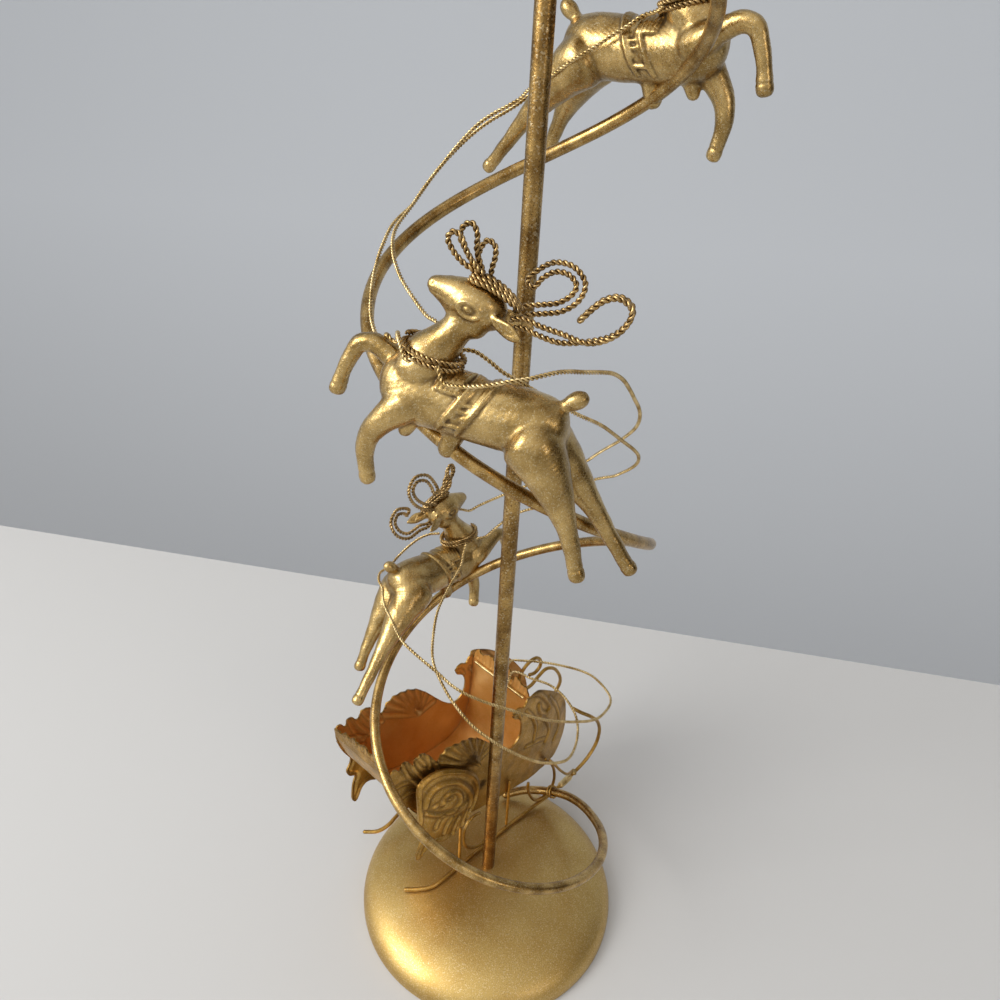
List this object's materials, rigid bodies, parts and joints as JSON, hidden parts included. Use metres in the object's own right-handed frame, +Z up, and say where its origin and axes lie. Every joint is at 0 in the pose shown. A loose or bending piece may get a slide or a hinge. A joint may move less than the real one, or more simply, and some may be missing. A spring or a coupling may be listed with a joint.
{
  "type": "candlestick",
  "caption": "Gold-painted metal candlestick with a domed base, upright rod, and spiral wire carrying cast reindeer that pull a sheet-metal sleigh on runners.",
  "frame": {"origin": "centre of the whole object's footprint box, at the height of the base's lip; the rod stands 3.9 mm to +X and 17.6 mm to -Y of it", "axes": "+Z up along the rod, +Y away from the camera of the picture, +X to its right"},
  "size_m": [0.1386, 0.1706, 0.4656],
  "materials": {
    "gold_paint": "gold lacquer with a fine metallic grain",
    "pale_gold_paint": "lighter gold lacquer on twisted wire",
    "dark_gold_paint": "antiqued gold lacquer, brown in the recesses",
    "copper_paint": "orange copper lacquer",
    "bare_steel": "zinc plated"
  },
  "bodies": {
    "root": {"base_dome": "gold_paint", "base_washer": "bare_steel", "base_nut": "bare_steel", "centre_rod": "gold_paint", "drip_pan": "gold_paint", "candle_cup": "gold_paint", "cup_nut": "bare_steel", "spiral_rod": "gold_paint", "lower_deer": "gold_paint", "lower_deer_collar": "dark_gold_paint", "lower_deer_antler_loops": "dark_gold_paint", "lower_deer_left_antler_curl": "dark_gold_paint", "lower_deer_right_antler_curl": "dark_gold_paint", "middle_deer": "gold_paint", "middle_deer_collar": "dark_gold_paint", "middle_deer_antler_loops": "dark_gold_paint", "middle_deer_left_antler_curl": "dark_gold_paint", "middle_deer_right_antler_curl": "dark_gold_paint", "upper_deer": "gold_paint", "upper_deer_collar": "dark_gold_paint", "upper_deer_antler_loops": "dark_gold_paint", "upper_deer_left_antler_curl": "dark_gold_paint", "upper_deer_right_antler_curl": "dark_gold_paint", "upper_left_rein": "pale_gold_paint", "upper_right_rein": "pale_gold_paint", "middle_left_rein": "pale_gold_paint", "middle_right_rein": "pale_gold_paint", "lower_left_rein": "pale_gold_paint", "lower_right_rein": "pale_gold_paint", "sleigh_tub": "copper_paint", "sleigh_right_panel": "gold_paint", "sleigh_right_scroll_plate": "dark_gold_paint", "sleigh_right_runner": "gold_paint", "sleigh_right_rear_leg": "gold_paint", "sleigh_right_front_leg": "gold_paint", "sleigh_right_front_scroll": "gold_paint", "sleigh_right_rear_scroll": "gold_paint", "sleigh_left_panel": "gold_paint", "sleigh_left_scroll_plate": "dark_gold_paint", "sleigh_left_runner": "gold_paint", "sleigh_left_rear_leg": "gold_paint", "sleigh_left_front_leg": "gold_paint", "sleigh_left_front_scroll": "gold_paint", "sleigh_left_rear_scroll": "gold_paint", "runner_ferrule": "gold_paint", "front_brace": "gold_paint", "runner_binding": "dark_gold_paint", "rein_rail": "pale_gold_paint"}
  },
  "joints": []
}
